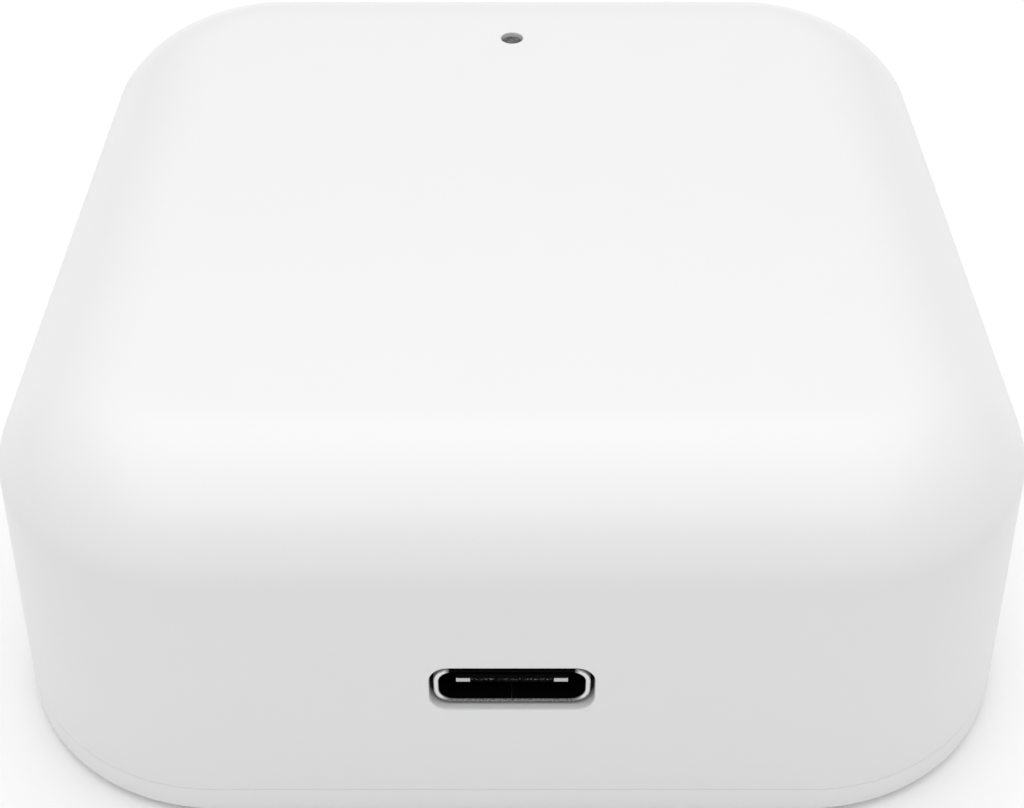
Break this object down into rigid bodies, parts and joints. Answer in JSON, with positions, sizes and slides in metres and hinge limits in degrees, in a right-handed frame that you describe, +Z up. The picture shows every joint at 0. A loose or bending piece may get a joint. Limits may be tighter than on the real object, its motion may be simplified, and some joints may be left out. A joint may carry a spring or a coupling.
{
  "type": "smart lock wifi gateway",
  "caption": "Soft-edged square table-top wireless gateway with a USB-C power socket in its front wall and an indicator hole near the back of its roof.",
  "frame": {"origin": "on the table, under the middle of the case", "axes": "+Z up, -Y out of the front wall that holds the socket, +X to the right seen from the front"},
  "size_m": [0.0642, 0.0642, 0.0245],
  "materials": {
    "case_plastic": "fine spark-eroded texture, white",
    "foot_rubber": "soft grey rubber, matte",
    "screw_steel": "zinc-plated steel",
    "board_laminate": "green solder mask over glass laminate",
    "module_laminate": "black solder mask",
    "socket_steel": "bright nickel-plated stainless sheet",
    "socket_plastic": "black glass-filled moulding",
    "contact_gold": "gold-plated copper alloy",
    "pipe_clear": "smoke-tinted clear acrylic",
    "led_body": "milky resin",
    "can_tin": "tinned sheet",
    "chip_black": "black moulding compound",
    "capacitor_aluminium": "bare drawn can",
    "inductor_grey": "pressed iron powder",
    "ceramic_tan": "fired ceramic",
    "resistor_black": "overglazed film"
  },
  "bodies": {
    "root": {"upper_housing": "case_plastic", "bottom_cover": "case_plastic", "rubber_feet": "foot_rubber", "cover_screws": "screw_steel", "main_board": "board_laminate", "board_screws": "screw_steel", "socket_shell": "socket_steel", "socket_insulator": "socket_plastic", "socket_middle_plate": "socket_steel", "socket_upper_contacts": "contact_gold", "socket_lower_contacts": "contact_gold", "light_pipe": "pipe_clear", "status_led": "led_body", "wifi_module_board": "module_laminate", "wifi_shield_can": "can_tin", "wifi_chip": "chip_black", "bluetooth_module_board": "module_laminate", "bluetooth_shield_can": "can_tin", "bluetooth_chip": "chip_black", "capacitor_can": "capacitor_aluminium", "capacitor_base": "socket_plastic", "power_inductor": "inductor_grey", "voltage_regulator": "chip_black", "surge_diode": "chip_black", "ceramic_capacitors": "ceramic_tan", "chip_resistors": "resistor_black"}
  },
  "joints": []
}
